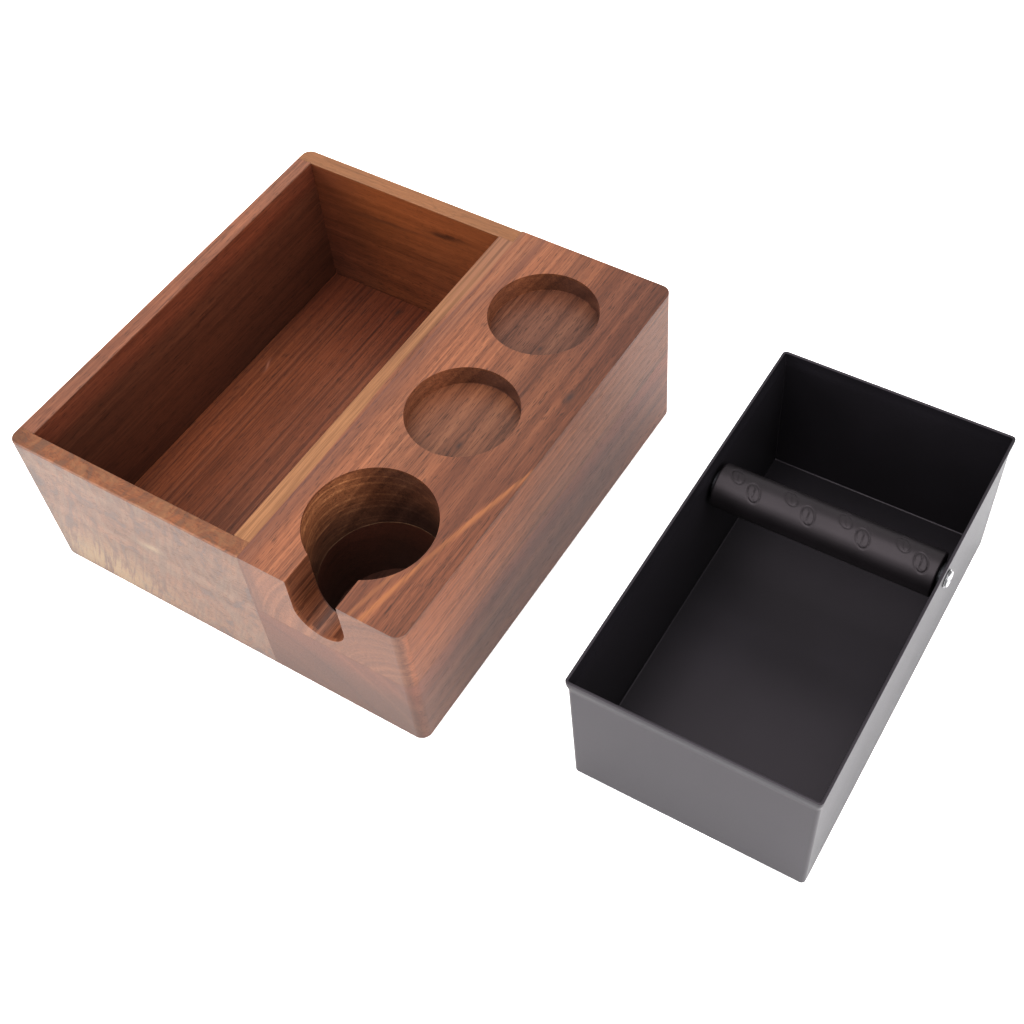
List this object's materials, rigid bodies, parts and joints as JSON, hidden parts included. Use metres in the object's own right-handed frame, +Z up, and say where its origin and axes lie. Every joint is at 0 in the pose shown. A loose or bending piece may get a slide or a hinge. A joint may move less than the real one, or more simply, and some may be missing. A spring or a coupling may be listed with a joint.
{
  "type": "portafilter tamping station with knock bin",
  "caption": "Walnut espresso tamping station: block with round tool wells, a portafilter well with handle slot and a long compartment, and the loose black knock bin that drops into it.",
  "frame": {"origin": "middle of the footprint of the station and the bin together, on the surface they stand on", "axes": "+Z up; +X from the station's compartment towards the bin standing beside it; +Y from the front, where the handle slot opens, to the back"},
  "size_m": [0.4518, 0.26, 0.0985],
  "materials": {
    "walnut_top": "oiled satin, straight grain front to back",
    "walnut_base": "oiled satin, plain grain front to back",
    "walnut_burl": "oiled satin, burl figure",
    "walnut_back": "oiled satin, grain left to right",
    "walnut_side": "oiled satin, grain front to back",
    "walnut_floor": "oiled satin, striped grain front to back",
    "dowel_beech": "raw",
    "foot_rubber": "matte",
    "bin_plastic": "satin",
    "bar_rubber": "matte",
    "rod_steel": "brushed",
    "screw_steel": "polished"
  },
  "bodies": {
    "station": {"top_block": "walnut_top", "base_block": "walnut_base", "front_board": "walnut_burl", "back_board": "walnut_back", "side_board": "walnut_side", "floor_board": "walnut_floor", "dowel_front_left_low": "dowel_beech", "dowel_front_left_high": "dowel_beech", "dowel_front_lap_low": "dowel_beech", "dowel_front_lap_high": "dowel_beech", "dowel_back_left_low": "dowel_beech", "dowel_back_left_high": "dowel_beech", "dowel_back_lap_low": "dowel_beech", "dowel_back_lap_high": "dowel_beech", "foot_front_left": "foot_rubber", "foot_back_left": "foot_rubber", "foot_front_right": "foot_rubber", "foot_back_right": "foot_rubber"},
    "bin": {"bin_shell": "bin_plastic", "bar_core": "rod_steel", "bar_sleeve": "bar_rubber", "bar_spacer_left": "rod_steel", "bar_spacer_right": "rod_steel", "screw_washer_left": "screw_steel", "screw_washer_right": "screw_steel", "bar_screw_left": "screw_steel", "bar_screw_right": "screw_steel"}
  },
  "joints": [
    {"name": "bin_lift", "type": "slide", "parent": "station", "child": "bin", "axis": [0, 0, 1], "range_m": [0, 0.15]}
  ]
}
